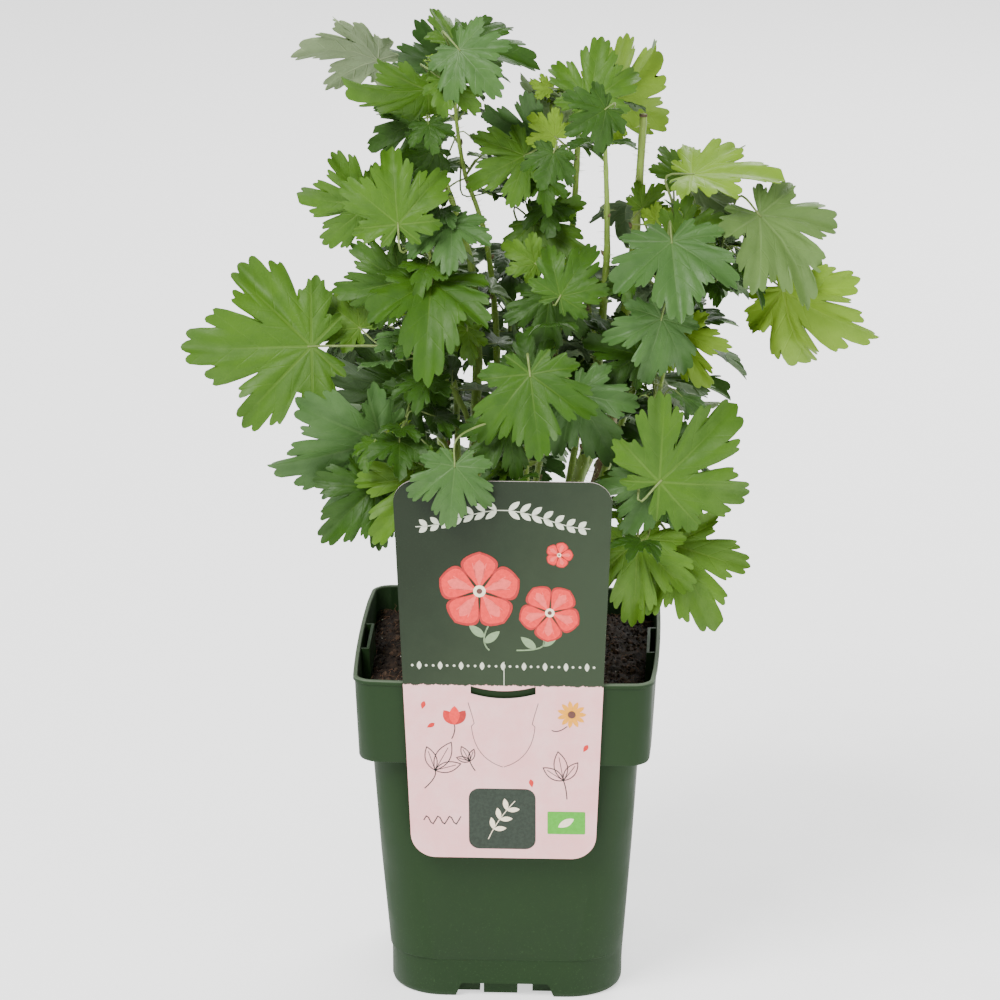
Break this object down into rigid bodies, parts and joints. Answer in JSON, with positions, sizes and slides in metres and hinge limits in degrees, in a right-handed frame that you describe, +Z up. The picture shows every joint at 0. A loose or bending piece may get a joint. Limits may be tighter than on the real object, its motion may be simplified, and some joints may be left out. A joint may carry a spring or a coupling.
{
  "type": "potted gooseberry bush",
  "caption": "Young lobed-leaved gooseberry bush of several upright canes, filling a square tapered nursery pot of compost, with a card hang label hooked over its rim.",
  "frame": {"origin": "middle of the pot's flat underside", "axes": "+Z up the plant, -Y to the front where the label hangs, +X to the right as seen from the front"},
  "size_m": [0.3051, 0.2038, 0.4344],
  "materials": {
    "pot_plastic": "dark green moulded plastic, satin",
    "compost": "moist dark crumbly compost",
    "label_card": "printed card, smooth",
    "green_cane": "green young stems with fine hairs",
    "woody_cane": "brown peeling bark",
    "leaf": "soft lobed green leaves"
  },
  "bodies": {
    "root": {"pot": "pot_plastic", "compost": "compost", "label": "label_card", "stem_base": "woody_cane", "cane_middle": "green_cane", "cane_upright": "green_cane", "cane_cut_right": "woody_cane", "cane_back_right": "green_cane", "cane_back_left": "green_cane", "cane_leader": "green_cane", "cane_left": "green_cane", "cane_front": "green_cane", "shoot_leader_twin": "green_cane", "shoot_upper_left": "green_cane", "shoot_low_left": "green_cane", "shoot_centre": "green_cane", "shoot_cut_left": "green_cane", "shoot_right": "green_cane", "shoot_far_right": "green_cane", "shoot_low_right": "green_cane", "shoot_rim_right": "green_cane", "shoot_heart": "green_cane", "shoot_heart_left": "green_cane", "shoot_back": "green_cane", "shoot_back_low": "green_cane", "foliage_top_left": "leaf", "foliage_crest": "leaf", "foliage_upper_left": "leaf", "foliage_left": "leaf", "foliage_low_left": "leaf", "foliage_centre_front": "leaf", "foliage_centre": "leaf", "foliage_top_middle": "leaf", "foliage_top_right": "leaf", "foliage_right_upper": "leaf", "foliage_far_right": "leaf", "foliage_right_middle": "leaf", "foliage_low_right": "leaf", "foliage_heart": "leaf", "foliage_heart_left": "leaf", "foliage_back_left": "leaf", "foliage_back": "leaf", "foliage_back_right": "leaf", "foliage_back_low": "leaf"}
  },
  "joints": []
}
